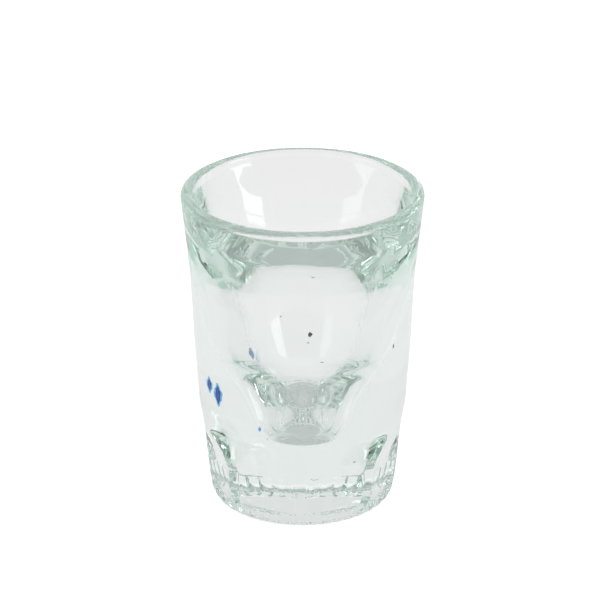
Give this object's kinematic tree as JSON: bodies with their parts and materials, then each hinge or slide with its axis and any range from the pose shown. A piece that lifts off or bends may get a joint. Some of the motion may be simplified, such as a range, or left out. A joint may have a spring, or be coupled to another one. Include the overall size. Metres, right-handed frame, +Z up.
{
  "type": "shot glass",
  "caption": "Small pressed drinking glass with a flared lip, a cone-bottomed cavity, a thick clear base, arched panels round the foot and a grooved standing ring.",
  "frame": {"origin": "centre of the flat bearing ring that the glass stands on", "axes": "+Z is up along the axis of the glass, out of the mouth; -Y is the side seen in the reference view"},
  "size_m": [0.0508, 0.0508, 0.069],
  "materials": {
    "glass": "polished clear soda-lime glass with a faint green tint"
  },
  "bodies": {
    "root": {"glass_body": "glass"}
  },
  "joints": []
}
